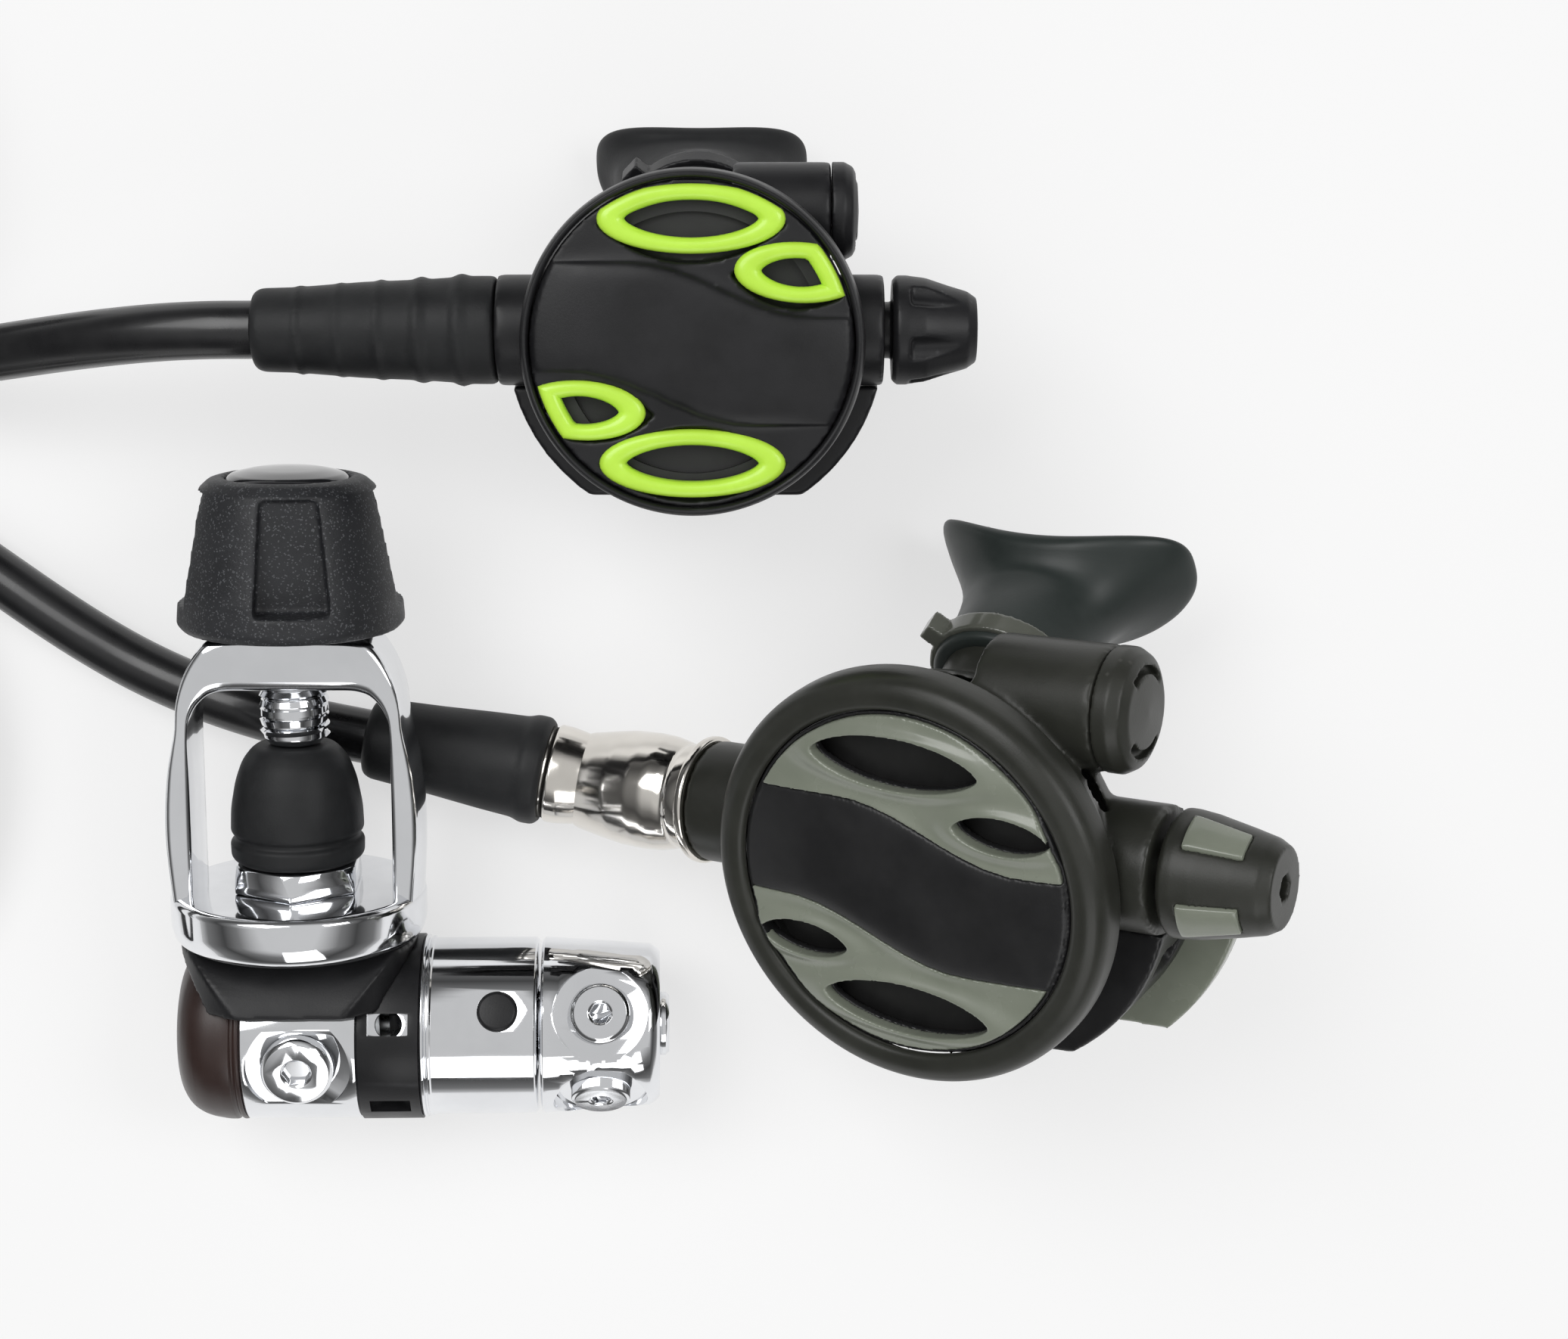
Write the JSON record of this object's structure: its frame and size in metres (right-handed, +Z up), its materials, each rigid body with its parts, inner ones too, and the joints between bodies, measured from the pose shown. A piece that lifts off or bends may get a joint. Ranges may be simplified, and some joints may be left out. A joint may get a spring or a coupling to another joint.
{
  "type": "scuba regulator set",
  "caption": "Yoke first stage with swivel turret, a primary and an alternate second stage, each with its own low-pressure hose laid in a coil.",
  "frame": {"origin": "middle of the set's box, without the free hoses, on the surface that it lies on", "axes": "+X towards the second stages' adjusting knobs, +Y along the first stage's yoke from barrel to clamp knob, +Z up from the surface"},
  "size_m": [0.4493, 0.2962, 0.102],
  "materials": {
    "chrome": "mirror-bright plating",
    "steel": "fine turned",
    "bronze": "sintered",
    "black_plastic": "fine moulded grain",
    "knob_plastic": "sparkling fine grain",
    "gloss_black": "polished",
    "brown_rubber": "satin",
    "black_rubber": "matte",
    "hose_rubber": "smooth, semi-gloss",
    "olive_plastic": "fine moulded grain",
    "panel_black": "satin",
    "sage_plastic": "semi-gloss",
    "tie_plastic": "gloss",
    "olive_rubber": "satin silicone",
    "lime_plastic": "satin fluorescent",
    "silicone": "translucent matte"
  },
  "bodies": {
    "base": {"end_cap": "brown_rubber", "main_body": "chrome", "body_plugs": "chrome", "ambient_band": "black_plastic", "piston_sleeve": "chrome", "sleeve_plug": "black_plastic", "main_spring": "steel", "seat": "black_plastic", "saddle": "black_plastic", "yoke": "chrome", "yoke_nut": "chrome", "inlet_filter": "bronze", "dust_cap": "black_rubber", "primary_swivel_ball": "chrome", "primary_boot": "black_rubber", "alternate_case": "black_plastic", "alternate_ring": "black_plastic", "alternate_orifice_tube": "steel", "alternate_mouthpiece": "black_rubber", "alternate_tie": "black_plastic", "alternate_exhaust_tee": "black_plastic", "alternate_side_plug": "black_plastic", "alternate_boot": "black_rubber", "primary_hose": "hose_rubber", "primary_hose_coil": "hose_rubber", "primary_hose_fitting": "chrome", "alternate_hose": "hose_rubber", "alternate_hose_coil": "hose_rubber", "alternate_hose_fitting": "chrome"},
    "knob_cap": {"knob_insert": "gloss_black"},
    "yoke_knob": {"yoke_knob": "knob_plastic", "yoke_screw": "chrome"},
    "turret": {"turret": "chrome", "turret_plugs": "chrome", "turret_end_plug": "chrome"},
    "piston": {"piston": "steel"},
    "primary": {"primary_case": "olive_plastic", "primary_ring": "olive_plastic", "primary_orifice_tube": "steel", "primary_mouthpiece": "olive_rubber", "primary_tie": "tie_plastic", "primary_exhaust_tee": "panel_black", "primary_deflectors": "sage_plastic", "primary_exhaust_valve": "silicone", "primary_side_plug": "olive_plastic", "primary_swivel_housing": "chrome", "primary_inlet_ring": "chrome"},
    "primary_purge": {"primary_purge_panel": "panel_black", "primary_cover_inserts": "sage_plastic", "primary_diaphragm": "silicone"},
    "primary_lever": {"primary_lever": "steel"},
    "primary_poppet": {"primary_poppet": "black_rubber"},
    "primary_knob": {"primary_knob": "olive_plastic", "primary_knob_inserts": "sage_plastic"},
    "alternate_purge": {"alternate_purge_panel": "black_plastic", "alternate_cover_inserts": "lime_plastic", "alternate_diaphragm": "silicone"},
    "alternate_lever": {"alternate_lever": "steel"},
    "alternate_poppet": {"alternate_poppet": "black_rubber"},
    "alternate_knob": {"alternate_knob": "black_plastic"}
  },
  "joints": [
    {"name": "screw_travel", "type": "slide", "parent": "base", "child": "knob_cap", "axis": [0.0109, 0.9781, 0.2076], "range_m": [0, 0.018]},
    {"name": "knob_turn", "type": "hinge", "parent": "knob_cap", "child": "yoke_knob", "pos_m": [-0.09021, 0.00609, 0.04389], "axis": [0.0109, 0.9781, 0.2076], "range_deg": [0, 3276]},
    {"name": "turret_swivel", "type": "hinge", "parent": "base", "child": "turret", "pos_m": [-0.03138, -0.09172, 0.01999], "axis": [0.9986, 0, -0.0523], "continuous": true},
    {"name": "piston_slide", "type": "slide", "parent": "base", "child": "piston", "axis": [-0.9986, 0, 0.0523], "range_m": [0, 0.0006], "stiffness_N_per_m": 4000, "springref_m": -0.001},
    {"name": "primary_swivel", "type": "hinge", "parent": "base", "child": "primary", "pos_m": [-0.02376, -0.03775, 0.014], "axis": [0.8596, -0.1055, 0.5], "range_deg": [-6, 6]},
    {"name": "primary_purge", "type": "slide", "parent": "primary", "child": "primary_purge", "axis": [0.507, 0.2988, -0.8085], "range_m": [0, 0.0025], "stiffness_N_per_m": 600, "springref_m": -0.001},
    {"name": "primary_lever", "type": "hinge", "parent": "primary", "child": "primary_lever", "pos_m": [0.04762, -0.04955, 0.06479], "axis": [-0.8596, 0.1055, -0.5], "range_deg": [0, 14]},
    {"name": "primary_poppet", "type": "slide", "parent": "primary", "child": "primary_poppet", "axis": [0.8596, -0.1055, 0.5], "range_m": [0, 0.0008]},
    {"name": "primary_knob_turn", "type": "hinge", "parent": "primary", "child": "primary_knob", "pos_m": [0.09572, -0.05242, 0.0835], "axis": [0.8596, -0.1055, 0.5], "range_deg": [-270, 270]},
    {"name": "alternate_purge", "type": "slide", "parent": "base", "child": "alternate_purge", "axis": [0, 0.1736, -0.9848], "range_m": [0, 0.0025], "stiffness_N_per_m": 600, "springref_m": -0.001},
    {"name": "alternate_lever", "type": "hinge", "parent": "base", "child": "alternate_lever", "pos_m": [-0.0025, 0.05946, 0.05857], "axis": [-1, 0, 0], "range_deg": [0, 14]},
    {"name": "alternate_poppet", "type": "slide", "parent": "base", "child": "alternate_poppet", "axis": [1, 0, 0], "range_m": [0, 0.0008]},
    {"name": "alternate_knob_turn", "type": "hinge", "parent": "base", "child": "alternate_knob", "pos_m": [0.0395, 0.06091, 0.0503], "axis": [1, 0, 0], "range_deg": [-270, 270]}
  ],
  "couplings": [
    {"joint": "knob_turn", "follows": "screw_travel", "rad_per_m": 3141.6},
    {"joint": "primary_lever", "follows": "primary_purge", "rad_per_m": 90},
    {"joint": "primary_poppet", "follows": "primary_purge", "ratio": 0.24},
    {"joint": "alternate_lever", "follows": "alternate_purge", "rad_per_m": 90},
    {"joint": "alternate_poppet", "follows": "alternate_purge", "ratio": 0.24}
  ]
}
